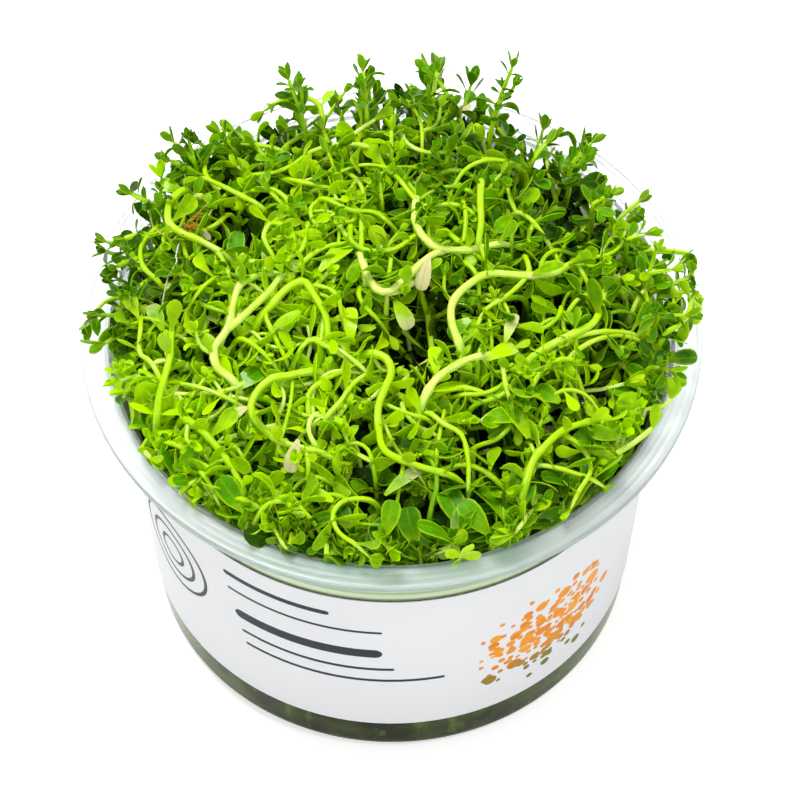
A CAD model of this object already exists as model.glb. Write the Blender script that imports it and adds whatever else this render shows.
"""Looks of a rotala in its culture pot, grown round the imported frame.

Metres, +Z up, front of the pot to -Y. Small shoots, sprigs and winding stems are joined meshes: one
leaf and one length of stem are modelled with bmesh operators, and arrays bend and place their copies.
"""
import math

import bmesh
import bpy
import numpy as np
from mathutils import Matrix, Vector


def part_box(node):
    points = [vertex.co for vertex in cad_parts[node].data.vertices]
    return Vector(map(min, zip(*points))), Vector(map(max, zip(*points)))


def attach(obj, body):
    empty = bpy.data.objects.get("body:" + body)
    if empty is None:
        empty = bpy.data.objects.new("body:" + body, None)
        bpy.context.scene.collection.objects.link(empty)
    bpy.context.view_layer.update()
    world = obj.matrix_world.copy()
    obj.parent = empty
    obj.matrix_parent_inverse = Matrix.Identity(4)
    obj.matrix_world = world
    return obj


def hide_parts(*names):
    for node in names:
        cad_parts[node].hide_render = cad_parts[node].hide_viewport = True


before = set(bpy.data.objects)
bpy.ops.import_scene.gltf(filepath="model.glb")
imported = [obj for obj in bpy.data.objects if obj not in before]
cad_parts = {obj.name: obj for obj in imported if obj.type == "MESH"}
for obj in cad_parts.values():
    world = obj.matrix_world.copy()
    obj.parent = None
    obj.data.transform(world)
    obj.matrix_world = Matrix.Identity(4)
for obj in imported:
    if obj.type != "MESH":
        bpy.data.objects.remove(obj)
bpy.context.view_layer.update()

MM = 0.001
UP = np.array((0.0, 0.0, 1.0))

# Camera of the photograph
LENS_MM = 162.0
SENSOR_MM = 36.0
CAMERA_ELEVATION = math.radians(54.2)
CAMERA_DISTANCE = 592.9 * MM
CAMERA_TARGET = Vector((0.57 * MM, 0.0, 45.98 * MM))

# Cup, as the frame has it
CUP_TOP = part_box("cup")[1].z
FLANGE_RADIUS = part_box("cup")[1].x
FLANGE_THICKNESS = 0.8 * MM
FLANGE_LIP_DROP = 1.4 * MM
FLANGE_INNER_RADIUS = 46.6 * MM
SEAT_RADIUS = 45.5 * MM
SEAT_DROP = 1.0 * MM
COLLAR_RADIUS = 45.8 * MM
FLANGE_RINGS_MM = (49.0, 47.9)
FLANGE_LINES_MM = [(50.4, 0.5), (46.7, 0.4)]
LEDGE_TOP = 57.5 * MM
LEDGE_BOTTOM = 54.0 * MM
BODY_TOP_RADIUS = 43.9 * MM
BODY_BASE_RADIUS = 41.2 * MM
BASE_CORNER = 3.0 * MM
CUP_WALL = 0.8 * MM
CUP_FLOOR = 1.2 * MM
ROUND_STEPS = 144

LABEL_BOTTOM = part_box("label")[0].z
LABEL_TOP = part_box("label")[1].z
LABEL_GAP = 0.08 * MM
LABEL_THICKNESS = 0.18 * MM
# Print on the label, unrolled: mm to the right of the front and mm up
PRINT_RADIUS_MM = 43.2
PRINT_LINES_MM = [
    (-29.0, -10.0, 45.2, 1.3),
    (-28.5, -1.5, 40.6, 0.7),
    (-27.5, -1.5, 33.6, 2.6),
    (-26.5, 0.5, 28.4, 0.8),
    (-26.0, 9.0, 24.6, 0.8),
]
PRINT_RING_CENTRE_MM = (-43.0, 35.0)
PRINT_RINGS_MM = (9.0, 6.0, 3.0)
PRINT_DOTS_CENTRE_MM = (29.0, 27.0)
PRINT_DOTS_SQUEEZE = (0.075, 0.078, 0.0)
PRINT_DOT_CELLS_MM = [(4.2, 0.0), (2.6, 11.3), (1.7, 23.9)]

GEL_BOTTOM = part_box("nutrient_gel")[0].z
GEL_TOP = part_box("nutrient_gel")[1].z

# Studio light: name, place, size in metres and power in watts
SURROUND = 0.40
FLOOR_GLOW = 0.52
SOFTBOXES = [
    ("key softbox", (-0.22, 0.25, 0.85), 0.42, 7.6),
    ("front softbox", (0.15, -0.9, 0.45), 0.7, 2.6),
    ("small softbox", (0.30, -0.30, 0.85), 0.07, 1.3),
]

# Seeds of the random draws: where the small shoots stand, and one for each piece of growth
SPREAD_SEED = 11
CLUMP_SEED = 10
SPRIG_SEED = 100
RUNNER_SEED = 300

# Canopy: the height that the shoots reach over a point of the base
CANOPY_RISE = 10.0 * MM
CANOPY_TILT = 0.14
CANOPY_FALL = 5.0 * MM
CANOPY_RADIUS = 44.0 * MM
CANOPY_LOWEST = CUP_TOP + 2.4 * MM

# How far growth may reach from the axis: by height inside the cup, and by depth (y) above its rim
ROOM_HEIGHTS = np.array((54.0, 58.0, 65.5)) * MM
ROOM_INSIDE = np.array((42.2, 44.1, 44.7)) * MM
RIM_HEIGHT = 66.6 * MM
RIM_DEPTHS = np.array((-20.0, -6.0)) * MM
ROOM_OVER_RIM = np.array((48.0, 50.8)) * MM

# Clumps of small shoots: one in the middle, four round it and eight against the cup
MIDDLE_CLUMP_RADIUS = 15.3 * MM
INNER_CLUMPS_RADIUS = 30.0 * MM
INNER_CLUMPS = 4
OUTER_CLUMPS = 8
# Small shoots over the whole disc, and how far down their leaves reach
SHOOT_COUNT = 450
SHOOT_DISC = 43.6 * MM
GOLDEN_ANGLE = math.pi * (3.0 - math.sqrt(5.0))
CLOTHED_INSIDE = 19.0 * MM
CLOTHED_OUTSIDE = 27.0 * MM
SHOOT_TONES = (-0.18, 1.05)
# Those that lie and those that stand, in mm: the top's reach, stem radius, leaf length and spacing
LYING = {"reach": (8.0, 19.0), "stem": (0.46, 0.72), "leaf": (4.4, 7.2), "spacing": (6.6, 10.0)}
STANDING = {"reach": (1.0, 6.0), "stem": (0.38, 0.56), "leaf": (4.8, 7.4), "spacing": (4.4, 6.6)}
# Shoots close inside the front rim, with three pairs of broad leaves each
RIM_SHOOTS = 48
RIM_FOOT_RADIUS = 42.0 * MM
RIM_TOP_RADIUS_MM = (43.0, 45.1)
RIM_TOP_RISE_MM = (0.8, 3.8)
RIM_LEAF_MM = (5.6, 7.2)
RIM_FIRST_PAIR_MM = 0.4
RIM_PAIR_SPACING_MM = 3.2

# Shape of one leaf: stations from its foot to its tip, and half widths there for each outline
LEAF_STATIONS = np.array((0.0, 0.16, 0.38, 0.6, 0.8, 0.94, 1.0))
LEAF_OUTLINES = np.array((
    (0.20, 0.22, 0.52, 0.92, 1.00, 0.66, 0.20),
    (0.22, 0.42, 0.86, 1.00, 0.88, 0.52, 0.14),
    (0.20, 0.50, 0.96, 0.90, 0.56, 0.20, 0.04),
    (0.24, 0.50, 0.84, 1.00, 0.98, 0.74, 0.30),
))
SPOON, OBLONG, POINTED, ROUND = range(4)
LEAF_THICKNESS = 0.32 * MM
LEAST_CURL = 0.02
# Leaves deep in the mass are darker: how far down that starts, the change for each mm, and its
# share by radius
SHADE_START_MM = 0.8
DEPTH_SHADE = 0.11
SHADE_RADII = np.array((33.0, 45.0)) * MM
SHADE_SHARES = (1.0, 0.12)
DEEPEST_TONE = -0.35
# Stems: sides round them and stations along them
FINE_SIDES, FINE_STATIONS = 6, 15
MIDDLE_SIDES, MIDDLE_STATIONS = 8, 26
SHORT_STATIONS = 6
THICK_SIDES, THICK_STATIONS = 10, 46
# Angle in degrees past which an edge of a leaf or stem stays sharp
GROWTH_SHARP = 58

# Sprigs, as the frame has them
SPRIG_FOOT = 1.0 * MM
SPRIG_TOP_LEAF_REACH = 3.0 * MM
SPRIG_TOP_LEAF_RISE = 2.0 * MM
SPRIG_LEAN = 0.55
SPRIG_LEAST_LEAN = 1.5 * MM
SPRIG_MOST_LEAN = 7.0 * MM
SPRIG_BOW = 0.1
SPRIG_TURN = 2.4
SPRIG_LEAF = 4.9 * MM
SPRIG_LEAF_SPACING = 3.3 * MM
SPRIG_BRANCHES = (5.0 * MM, 9.0 * MM)
SPRIG_BRANCH_LEAF = 3.8 * MM
SPRIG_TIPS_MM = [
    (-49.5, -4, 75), (-49, 11, 76), (-45, 19, 79), (-38, 29, 81), (-30, 31, 81), (-24, 27, 83),
    (-18, 37, 88), (-12, 31, 82), (-5, 39, 88), (0, 29, 84), (8, 39, 88), (11, 28, 84),
    (21, 37, 91), (27, 27, 83), (35, 28, 82), (38, 19, 79), (44, 12, 77), (48, 5, 76),
    (50, -4, 75), (47, -14, 73), (-46, -16, 73), (-11, 25, 83), (19, 21, 82), (-21, 17, 82),
    (27, 13, 81), (-2, 19, 82), (-38, 2, 79), (22, -24, 76),
]

# Winding stems: radius at the foot, shares of the length where leaf pairs stand, and leaf length
RUNNER_KIND = (0.78 * MM, (0.3, 0.46, 0.62, 0.77, 0.91), 5.2 * MM)
JUICY_KIND = (0.78 * MM, (0.92,), 4.6 * MM)
THIN_KIND = (0.54 * MM, (0.5, 0.72, 0.9), 5.0 * MM)
ARC_LEAVES = ((0.6, 0.9), 5.0 * MM)
# How far they lie over the canopy and arch up from there
RUNNER_LIFT = (1.9 * MM, 1.6 * MM)
JUICY_LIFT = (3.2 * MM, 1.0 * MM)
THIN_CLEARANCE_MM = (1.3, 2.6)
THIN_ARCH = 0.8 * MM
LOOSE_ROOT_LIFT = (2.6 * MM, 1.0 * MM)
BRANCH_CHANCE = 0.55
# Beds in the small shoots under them: radius and depth in mm
RUNNER_BED_MM = (4.2, 5.0)
THIN_BED_MM = (3.0, 3.4)
# Thick stems that wind over the mound, as the frame has them (x, y in mm)
RUNNER_ROUTES_MM = [
    [(-25, -17), (-27.5, -15), (-28, -12), (-26, -9), (-25, -4), (-24, -1), (-21, 1), (-18.5, 1.5)],
    [(-21, -6.5), (-19, -4.5), (-16.5, -2), (-14, -1), (-12.5, -3), (-10.5, -6.5), (-10, -10)],
    [(-12, -16), (-16, -17), (-19, -18), (-21, -20), (-22, -23), (-20, -26), (-17, -28), (-11, -29.5)],
    [(-4, -13), (-1, -14), (0, -17), (-1, -20), (-2, -23), (-2, -26), (-1, -30), (4, -32), (9, -33)],
    [(-5, 5), (-4, 1), (-3, -1.5), (-1, -3), (1.5, -2), (4.5, 0.5)],
    [(4, 15.2), (3.8, 11.2), (4.8, 7.7), (7, 5.3), (10.2, 4.8), (13.7, 5.6), (17.2, 7)],
    [(11, -12), (9.5, -7.5), (10, -4), (13, -1), (16, 0.5), (22, 0.5), (26, 1.5), (29, 4)],
    [(22, -13.5), (26, -11), (29, -9.5), (32, -7.5), (33.5, -4), (34, -1)],
    [(5, -21), (7, -18), (10, -16), (13, -14.5), (16, -13.5), (18.5, -12.5)],
    [(20.5, -36), (22, -31), (24, -28.5), (27, -25.5), (31, -23)],
    [(-34, 19), (-36, 16), (-36, 12), (-34, 9.5), (-31, 8), (-27.5, 6)],
    [(-37, -21), (-36.5, -18), (-35.5, -15), (-35, -12), (-35, -8)],
    [(-32.5, -22.5), (-30, -25), (-28, -27.5), (-25.5, -30.5), (-23.5, -34)],
]
RUNNER_TONES = (1.15, 0.85, 0.9, 0.75, 1.35, 1.25, 1.1, 0.9, 1.2, 0.65, 0.9, 0.7, 0.65)
# Thinner stems that wind between the leaves
THIN_ROUTES_MM = [
    [(-19, -3), (-20, -6), (-19, -9), (-17, -13)],
    [(6, -23), (8, -25), (11, -27), (12, -31), (12, -34)],
    [(-11, 15), (-8, 13), (-6, 12), (-3, 12), (-1, 11)],
    [(-36, -17), (-38, -13), (-40, -11), (-40, -7), (-40, -5)],
    [(-35, -26), (-32, -28), (-29, -31), (-26, -33), (-24, -34)],
    [(-3.5, -37), (-7, -37.4), (-8.7, -39.2), (-9, -41.4), (-7.8, -43.8), (-5.5, -45.2)],
    [(-10, -24), (-8, -22), (-6, -19), (-4, -17)],
    [(-13, -23), (-13, -20), (-11, -18), (-8, -16)],
    [(-19.5, 10.5), (-20.5, 8), (-20, 6), (-19, 4.5)],
    [(-19, 10.5), (-16.5, 9), (-15.5, 7), (-16, 4.5)],
    [(-13.5, 10.5), (-13.5, 8), (-14.5, 5), (-16.5, 4)],
    [(-6.5, 10), (-6.5, 7), (-4, 5), (-0.5, 5), (1.5, 6), (4, 8.5)],
    [(-12.5, -1), (-10, -2), (-8.5, -3.5), (-8, -5.5)],
    [(-15, -13.5), (-13, -11), (-10.5, -12), (-7.5, -13.5)],
    [(-24, -10), (-22, -11.5), (-19.5, -13.5)],
    [(-24.5, 4), (-21.5, 3.5), (-19, 3.5)],
    [(11.5, 15), (12, 11), (11.5, 6.5)],
    [(21.5, 4.5), (22, 1.5), (20.5, -1), (18, -3.5), (15, -5.5), (13.5, -8.5)],
    [(29.5, 4.5), (31, 1), (32, -1)],
    [(28.5, -4.5), (30.5, -2.5), (33, -2)],
    [(28.5, -12.5), (32, -10), (35.5, -8.5), (38.5, -8)],
    [(21.5, -20), (23.5, -16.5), (26.5, -14), (29, -13.5)],
    [(17.5, -15), (18, -19), (19, -22)],
    [(-24, -36.5), (-22, -37.5), (-20, -38.5)],
    [(-20, -39), (-18, -38), (-15, -38)],
    [(-16.5, -34), (-15, -37.5), (-12, -41)],
    [(-13.5, -28.5), (-13, -31), (-13, -33)],
    [(22.5, -30.5), (25.5, -31), (28.5, -32), (31, -32.5)],
    [(-30, -31.5), (-29, -33), (-28, -34.5)],
    [(20.5, 13), (22.6, 11), (25, 7.9)],
    [(0.5, 20), (3, 16), (5.5, 12), (6, 8.5)],
    [(-4.4, 15), (-4.8, 11.5), (-4.8, 8), (-4.8, 4), (-4.4, 1.5)],
    [(44, -6), (46, -4.5), (47.6, -2), (48.4, 1)],
    [(-28, 6), (-26.8, 3.7), (-26, 1.1), (-25.7, -2.2)],
    [(29.2, -9.7), (33.1, -8.7), (37.6, -7.6)],
    [(4.3, 13.6), (7.8, 14), (11.4, 13.7), (13.6, 12.4)],
    [(-0.7, -2.6), (-0.4, 0.3), (-0.1, 3.6)],
]
THIN_TONES = (0.75, 0.95, 0.65, 0.85, 0.7, 0.8, 0.9)
# Thick pale stems that rise from the small shoots
JUICY_ROUTES_MM = [
    [
        (-3.3, -0.8), (-2.4, -2.6), (-0.7, -3.3), (0.8, -2.4),
        (2.5, -0.8), (4.2, 1.4), (6.1, 3.4), (7.7, 4.5),
    ],
    [(-26.2, -9.2), (-24.3, -8), (-22.2, -6.1), (-20.3, -4.2), (-19, -2.3), (-18, -0.3)],
    [(14.5, 17.7), (14.3, 13.3), (14.4, 9.6), (14, 6.5)],
]
JUICY_TONES = (1.35, 1.1, 0.85)
# Short bowed stems all over the mound, but for the deep hollows
ARC_COUNT = 130
ARC_RADIUS_MM = (0.36, 0.58)
ARC_CLEARANCE_MM = (-0.5, 1.8)
ARC_ARCH_MM = (0.6, 1.8)
ARC_STEP_MM = (2.2, 4.2)
ARC_HOLLOW = 5.2 * MM
ARC_DISC = 37.0 * MM
ARC_CENTRE = np.array((-3.0, -5.0)) * MM
ARC_FIRST_TURN = 1.0
# One thin pale root that lies loose on the mound
LOOSE_ROOT_MM = [(-34.2, 8), (-34.6, 5), (-34.4, 3.5), (-35.6, 2), (-36.2, 0)]

# Dark hollows between the shoots: x, y, radius and depth in mm
HOLLOWS_MM = [
    (5.5, -6.5, 8.5, 13.0), (-24.5, 9.5, 5.5, 9.0), (-8.0, -1.5, 5.5, 8.0), (11.0, 29.5, 7.0, 9.0),
    (15.5, -27.5, 7.0, 10.0), (10.5, -35.0, 6.0, 8.0), (1.0, -35.0, 5.5, 7.0), (30.5, -11.5, 6.5, 8.0),
    (25.5, 17.0, 7.0, 8.0), (-14.5, 8.5, 4.0, 6.0), (37.0, 12.5, 6.0, 6.0), (-5.0, -9.5, 5.0, 7.0),
    (0.5, -1.5, 5.0, 8.0), (-30.0, -8.0, 5.0, 6.0), (-4.0, 22.0, 6.0, 7.0), (17.0, -17.0, 5.0, 7.0),
    (-20.0, -40.0, 4.0, 5.0), (33.0, -31.0, 5.0, 6.0), (-18.5, 38.0, 6.5, 7.0), (-10.5, 40.5, 7.0, 8.5),
    (28.5, 32.0, 5.0, 6.0), (10.0, -39.5, 5.0, 5.0),
]

# Tone of the leaves, 0 deep green to 1 yellow-green: in the middle, and how much it drops at the rim
# and at the back
MIDDLE_TONE = 0.44
RIM_DROP = 0.14
BACK_DROP = 0.06
# Where pale or deep green shoots gather: x, y and radius in mm, and the change of tone
TONE_PATCHES_MM = [
    (6.0, 17.0, 9.0, -0.3), (25.5, 11.0, 9.0, -0.24), (-24.0, 8.0, 7.0, -0.38), (9.0, -3.0, 8.0, -0.3),
    (17.0, -2.0, 6.0, -0.34), (34.0, -4.0, 9.0, -0.36), (7.0, -11.5, 6.0, -0.28),
    (17.0, -20.5, 6.0, -0.3), (8.5, -37.0, 7.5, -0.46), (22.0, -38.0, 7.0, -0.08),
    (-39.0, -17.0, 8.0, 0.76), (-31.0, -18.0, 7.0, 0.38), (-15.5, -2.0, 7.5, 0.46),
    (-15.5, -20.5, 7.5, 0.42), (2.0, -20.5, 7.0, 0.3), (33.5, -19.0, 7.5, 0.72), (40.0, -16.5, 6.0, 0.2),
    (41.5, 6.0, 9.0, 0.46), (-8.0, 17.0, 7.0, 0.28), (-15.0, 7.5, 5.0, 0.16), (-10.0, -27.5, 7.0, 0.3),
    (18.5, -44.0, 7.0, 0.46), (-7.0, 0.5, 5.5, -0.28), (-24.5, 18.5, 8.0, 0.24), (-7.0, 8.0, 6.0, -0.26),
    (-6.0, -37.0, 6.0, -0.16), (33.0, -10.0, 6.0, -0.2), (0.0, 27.0, 6.0, 0.42), (3.0, -44.0, 7.0, 0.3),
    (-33.0, -32.0, 6.0, 0.28), (-46.0, 2.0, 7.0, -0.3), (33.0, 20.0, 6.0, 0.22), (17.0, 18.0, 5.0, 0.2),
    (1.0, 7.5, 4.5, 0.2), (0.5, -7.0, 5.0, 0.24), (16.5, -10.5, 5.0, 0.22), (24.0, -23.0, 6.0, 0.2),
    (24.5, -1.0, 5.0, 0.22),
]

# Single leaves that stand out: foot and tip as (x, y, height over the canopy), width, tone, age, gloss
SINGLE_LEAVES_MM = [
    ((-25.5, 3.0, -1.0), (-25.0, 9.0, 3.0), 2.9, 0.35, 0.0, 0.2),
    ((-11.5, 1.5, 2.5), (-7.0, 6.5, 4.0), 2.8, 0.9, 0.3, 0.5),
    ((6.0, 3.0, 4.2), (4.6, -2.0, 3.8), 2.4, 0.9, 1.0, 0.3),
    ((0.5, -3.5, 2.0), (3.0, -7.5, 1.5), 2.8, 0.8, 0.45, 0.4),
    ((-6.5, -10.5, 1.0), (-6.5, -5.0, 3.0), 2.4, 1.2, 0.15, 0.8),
    ((-24.5, -18.0, 1.0), (-21.0, -15.0, 2.0), 3.4, 0.4, 0.0, 1.0),
    ((18.0, -11.5, 3.0), (19.5, -6.5, 4.0), 2.0, 1.1, 0.6, 0.5),
    ((15.0, -15.0, 3.5), (19.5, -12.0, 4.0), 2.8, 1.0, 0.3, 0.4),
    ((-14.5, -28.5, 4.0), (-16.0, -33.0, 4.0), 2.4, 0.9, 1.0, 0.3),
    ((-22.5, -23.0, 4.2), (-26.0, -24.5, 4.2), 2.3, 0.8, 1.0, 0.3),
    ((-1.0, -36.0, 1.5), (4.0, -32.0, 3.0), 2.2, 0.6, 0.5, 0.3),
    ((-9.0, -37.5, 2.5), (-13.5, -36.0, 3.5), 2.8, 0.8, 0.0, 0.4),
    ((26.5, -20.5, 2.0), (23.0, -18.5, 2.5), 3.4, 0.48, 0.0, 1.0),
    ((14.0, -24.5, 2.0), (20.0, -22.5, 3.0), 3.5, 0.52, 0.0, 1.0),
    ((21.5, -27.0, 2.5), (18.0, -19.5, 3.5), 3.4, 0.62, 0.0, 0.5),
    ((7.0, -16.5, 2.0), (7.0, -12.0, 3.0), 2.5, 1.2, 0.15, 0.7),
    ((-36.5, -6.5, 1.0), (-38.5, -2.0, 2.5), 2.6, 0.6, 0.4, 0.3),
    ((-33.5, 10.5, 1.5), (-31.0, 8.5, 2.0), 1.3, 0.3, 0.9, 0.2),
    ((-31.5, 11.5, 1.5), (-29.5, 9.0, 2.5), 1.1, 0.3, 0.9, 0.2),
    ((12.5, -7.5, 3.0), (9.0, -9.5, 2.0), 2.8, 0.4, 0.0, 1.0),
    ((-27.0, -12.5, 2.0), (-30.5, -9.0, 3.0), 2.8, 0.7, 0.4, 0.4),
    ((-14.5, -6.0, 3.0), (-18.5, -9.5, 3.0), 3.0, 0.8, 0.35, 0.4),
    ((48.4, -1.2, 2.6), (50.6, -3.4, -0.2), 1.9, 0.2, 0.0, 0.2),
]
# Tangle of brown roots: x, y and height over the canopy in mm, and their number
BROWN_ROOTS_MM = (-33.0, 10.6, 3.6)
BROWN_ROOTS = 11


def canopy_height(x, y):
    """Height of the mass of shoots: a mound that leans up to the back and falls off at the rim."""
    fall = CANOPY_FALL * (math.hypot(x, y) / CANOPY_RADIUS) ** 4
    return max(CUP_TOP + CANOPY_RISE + CANOPY_TILT * y - fall, CANOPY_LOWEST)


def in_metres(values_mm):
    """Values given in mm, as the scene has them."""
    return [value * MM for value in values_mm]


# Templates


def read_template(bm):
    """Keep a shape's points and faces as arrays, ready to be repeated."""
    bmesh.ops.recalc_face_normals(bm, faces=bm.faces)
    bm.verts.index_update()
    points = np.array([vert.co[:] for vert in bm.verts])
    corners = np.array([vert.index for face in bm.faces for vert in face.verts])
    sizes = np.array([len(face.verts) for face in bm.faces])
    bm.free()
    return points, corners, sizes


def leaf_template():
    """A flat closed blade: x counts the stations, y runs across and z is 0 below and 1 above."""
    last = len(LEAF_STATIONS) - 1
    bm = bmesh.new()
    bmesh.ops.create_grid(bm, x_segments=last, y_segments=2, size=1.0)
    for vert in bm.verts:
        vert.co.x = round((vert.co.x + 1.0) / 2.0 * last)
    raised = bmesh.ops.extrude_face_region(bm, geom=bm.faces[:])["geom"]
    upper = [item for item in raised if isinstance(item, bmesh.types.BMVert)]
    bmesh.ops.translate(bm, verts=upper, vec=(0.0, 0.0, 1.0))
    return read_template(bm)


def stem_template(sides, stations):
    """A closed tube of radius 1: z counts the stations."""
    bm = bmesh.new()
    bmesh.ops.create_circle(bm, segments=sides, radius=1.0)
    bmesh.ops.spin(
        bm, geom=bm.verts[:] + bm.edges[:], cent=(0, 0, 0), axis=(0, 0, 1),
        dvec=(0, 0, 1), angle=0.0, steps=stations - 1,
    )
    bmesh.ops.holes_fill(bm, edges=bm.edges, sides=0)
    return read_template(bm)


LEAF = leaf_template()
STEMS = {
    SHORT_STATIONS: stem_template(FINE_SIDES, SHORT_STATIONS),
    FINE_STATIONS: stem_template(FINE_SIDES, FINE_STATIONS),
    MIDDLE_STATIONS: stem_template(MIDDLE_SIDES, MIDDLE_STATIONS),
    THICK_STATIONS: stem_template(THICK_SIDES, THICK_STATIONS),
}


# Growth


def unit(vector):
    """The same direction with length 1."""
    return vector / max(np.linalg.norm(vector), 1e-9)


def level(angle):
    """Horizontal direction at an angle from +X."""
    return np.array((math.cos(angle), math.sin(angle), 0.0))


def sideways(side, other, turn):
    """Direction across a stem, turned about it by an angle."""
    return side * math.cos(turn) + other * math.sin(turn)


def reach_limit(height, y):
    """How far from the axis growth may reach: inside the cup, a little over its front rim, free behind."""
    over_rim = np.interp(y, RIM_DEPTHS, ROOM_OVER_RIM)
    inside = np.interp(height, ROOM_HEIGHTS, ROOM_INSIDE)
    return np.where(height > RIM_HEIGHT, over_rim, inside)


def smooth_route(points, count, crowd=1.0):
    """Stations on a smooth curve through the given points; crowd above 1 packs them near the end."""
    points = [np.asarray(point, float) for point in points]
    ends = [2 * points[0] - points[1], *points, 2 * points[-1] - points[-2]]
    shares = np.linspace(0.0, 1.0, 10, endpoint=False)[:, None]
    fine = []
    for before, here, there, after in zip(ends, ends[1:], ends[2:], ends[3:]):
        fine.append(0.5 * (
            2 * here + (there - before) * shares
            + (2 * before - 5 * here + 4 * there - after) * shares ** 2
            + (3 * here - 3 * there + after - before) * shares ** 3
        ))
    fine = np.vstack(fine + [points[-1][None]])
    steps = np.linalg.norm(np.diff(fine, axis=0), axis=1)
    lengths = np.concatenate(([0.0], np.cumsum(steps)))
    marks = lengths[-1] * (1.0 - (1.0 - np.linspace(0.0, 1.0, count)) ** crowd)
    return np.stack([np.interp(marks, lengths, fine[:, axis]) for axis in range(3)], 1)


class Stem:
    """A curved stem: stations from its foot to its tip, and the directions across it there."""

    def __init__(self, points, count, first_side, crowd=1.0):
        stations = smooth_route(points, count, crowd)
        reach = np.hypot(stations[:, 0], stations[:, 1])
        room = reach_limit(stations[:, 2], stations[:, 1]) - 0.6 * MM
        stations[:, :2] *= np.minimum(1.0, room / np.maximum(reach, MM))[:, None]
        self.stations = stations
        self.along = np.gradient(stations, axis=0)
        self.along /= np.linalg.norm(self.along, axis=1)[:, None]
        self.sides = np.empty_like(self.along)
        side = np.asarray(first_side, float)
        for index, tangent in enumerate(self.along):
            side = unit(side - tangent * side.dot(tangent))
            self.sides[index] = side
        self.others = np.cross(self.along, self.sides)
        steps = np.linalg.norm(np.diff(stations, axis=0), axis=1)
        self.lengths = np.concatenate(([0.0], np.cumsum(steps)))
        self.total = self.lengths[-1]

    def below_tip(self, distance):
        """Point and the three directions at a distance below the tip."""
        mark = self.total - distance
        index = min(int(np.searchsorted(self.lengths, mark)), len(self.stations) - 1)
        root = np.array([np.interp(mark, self.lengths, self.stations[:, axis]) for axis in range(3)])
        return root, self.along[index], self.sides[index], self.others[index]


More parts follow.
